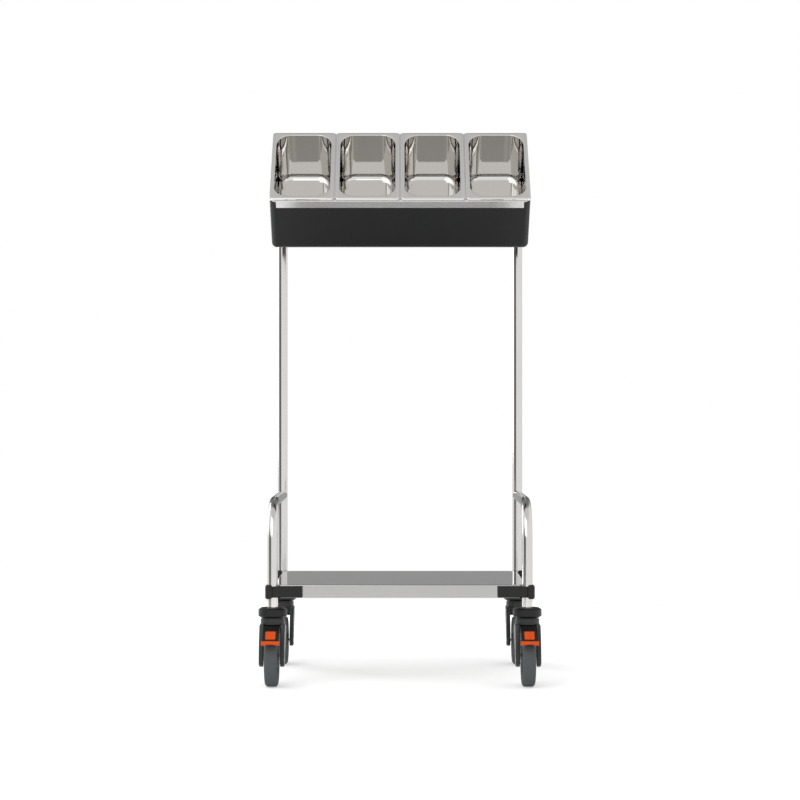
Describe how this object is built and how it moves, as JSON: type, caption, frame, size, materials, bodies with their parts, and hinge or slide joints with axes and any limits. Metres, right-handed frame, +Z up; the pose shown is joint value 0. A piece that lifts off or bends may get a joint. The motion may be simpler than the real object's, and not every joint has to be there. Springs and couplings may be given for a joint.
{
  "type": "cutlery trolley",
  "caption": "Free-standing steel cutlery trolley: leaning black tub with lift-out containers on two uprights, side hoops, low shelf and swivel castors with brakes.",
  "frame": {"origin": "on the floor, under the middle of the trolley's outline", "axes": "+Z up, +X to the right as the guest sees it, the guest stands at -Y"},
  "size_m": [0.688, 0.6, 1.378],
  "materials": {
    "tube_steel": "satin stainless tube",
    "shelf_steel": "smooth reflective stainless sheet",
    "pan_steel": "polished deep-drawn stainless steel",
    "carrier_steel": "satin stainless sheet",
    "tub_black": "smooth black moulding, low sheen",
    "clamp_black": "fine-grained black plastic",
    "castor_grey": "dark grey glass-filled plastic",
    "castor_black": "black plastic",
    "hub_grey": "grey plastic",
    "tyre_grey": "slate grey rubber",
    "brake_orange": "orange plastic",
    "fastener_zinc": "zinc-plated steel",
    "console_steel": "black powder-coated sheet"
  },
  "bodies": {
    "stand": {"upright_left": "tube_steel", "side_hoop_left": "tube_steel", "console_left": "console_steel", "upright_right": "tube_steel", "side_hoop_right": "tube_steel", "console_right": "console_steel", "upright_caps": "clamp_black", "clamp_caps": "clamp_black", "shelf": "shelf_steel", "clamp_screws": "fastener_zinc", "console_bolts": "fastener_zinc", "swivel_bearings": "fastener_zinc", "shelf_clamp_front_left": "clamp_black", "bumper_disc_front_left": "clamp_black", "castor_stem_front_left": "fastener_zinc", "shelf_clamp_front_right": "clamp_black", "bumper_disc_front_right": "clamp_black", "castor_stem_front_right": "fastener_zinc", "shelf_clamp_rear_left": "clamp_black", "bumper_disc_rear_left": "clamp_black", "castor_stem_rear_left": "fastener_zinc", "shelf_clamp_rear_right": "clamp_black", "bumper_disc_rear_right": "clamp_black", "castor_stem_rear_right": "fastener_zinc", "tub": "tub_black", "carrier_frame": "carrier_steel"},
    "castor_front_left": {"castor_fork_front_left": "castor_grey", "axle_front_left": "fastener_zinc"},
    "wheel_front_left": {"wheel_hub_front_left": "hub_grey", "tyre_front_left": "tyre_grey", "wheel_bearings_front_left": "fastener_zinc"},
    "castor_front_right": {"castor_fork_front_right": "castor_grey", "axle_front_right": "fastener_zinc"},
    "wheel_front_right": {"wheel_hub_front_right": "hub_grey", "tyre_front_right": "tyre_grey", "wheel_bearings_front_right": "fastener_zinc"},
    "castor_rear_left": {"castor_fork_rear_left": "castor_grey", "axle_rear_left": "fastener_zinc"},
    "wheel_rear_left": {"wheel_hub_rear_left": "hub_grey", "tyre_rear_left": "tyre_grey", "wheel_bearings_rear_left": "fastener_zinc"},
    "castor_rear_right": {"castor_fork_rear_right": "castor_grey", "axle_rear_right": "fastener_zinc"},
    "wheel_rear_right": {"wheel_hub_rear_right": "hub_grey", "tyre_rear_right": "tyre_grey", "wheel_bearings_rear_right": "fastener_zinc"},
    "pedal_left": {"brake_pedal_left": "castor_black", "brake_button_left": "brake_orange", "brake_lip_left": "brake_orange"},
    "pedal_right": {"brake_pedal_right": "castor_black", "brake_button_right": "brake_orange", "brake_lip_right": "brake_orange"},
    "pan_1": {"cutlery_pan_1": "pan_steel"},
    "pan_2": {"cutlery_pan_2": "pan_steel"},
    "pan_3": {"cutlery_pan_3": "pan_steel"},
    "pan_4": {"cutlery_pan_4": "pan_steel"}
  },
  "joints": [
    {"name": "swivel_front_left", "type": "hinge", "parent": "stand", "child": "castor_front_left", "pos_m": [-0.309, -0.185, 0.15], "axis": [0, 0, 1], "continuous": true},
    {"name": "roll_front_left", "type": "hinge", "parent": "castor_front_left", "child": "wheel_front_left", "pos_m": [-0.309, -0.223, 0.0625], "axis": [1, 0, 0], "continuous": true},
    {"name": "swivel_front_right", "type": "hinge", "parent": "stand", "child": "castor_front_right", "pos_m": [0.309, -0.185, 0.15], "axis": [0, 0, 1], "continuous": true},
    {"name": "roll_front_right", "type": "hinge", "parent": "castor_front_right", "child": "wheel_front_right", "pos_m": [0.309, -0.223, 0.0625], "axis": [1, 0, 0], "continuous": true},
    {"name": "swivel_rear_left", "type": "hinge", "parent": "stand", "child": "castor_rear_left", "pos_m": [-0.309, 0.265, 0.15], "axis": [0, 0, 1], "continuous": true},
    {"name": "roll_rear_left", "type": "hinge", "parent": "castor_rear_left", "child": "wheel_rear_left", "pos_m": [-0.309, 0.227, 0.0625], "axis": [1, 0, 0], "continuous": true},
    {"name": "swivel_rear_right", "type": "hinge", "parent": "stand", "child": "castor_rear_right", "pos_m": [0.309, 0.265, 0.15], "axis": [0, 0, 1], "continuous": true},
    {"name": "roll_rear_right", "type": "hinge", "parent": "castor_rear_right", "child": "wheel_rear_right", "pos_m": [0.309, 0.227, 0.0625], "axis": [1, 0, 0], "continuous": true},
    {"name": "brake_left", "type": "hinge", "parent": "castor_front_left", "child": "pedal_left", "pos_m": [-0.309, -0.209, 0.138], "axis": [1, 0, 0], "range_deg": [0, 7]},
    {"name": "brake_right", "type": "hinge", "parent": "castor_front_right", "child": "pedal_right", "pos_m": [0.309, -0.209, 0.138], "axis": [1, 0, 0], "range_deg": [0, 7]},
    {"name": "lift_pan_1", "type": "slide", "parent": "stand", "child": "pan_1", "axis": [0, -0.7071, 0.7071], "range_m": [0, 0.16]},
    {"name": "lift_pan_2", "type": "slide", "parent": "stand", "child": "pan_2", "axis": [0, -0.7071, 0.7071], "range_m": [0, 0.16]},
    {"name": "lift_pan_3", "type": "slide", "parent": "stand", "child": "pan_3", "axis": [0, -0.7071, 0.7071], "range_m": [0, 0.16]},
    {"name": "lift_pan_4", "type": "slide", "parent": "stand", "child": "pan_4", "axis": [0, -0.7071, 0.7071], "range_m": [0, 0.16]}
  ]
}
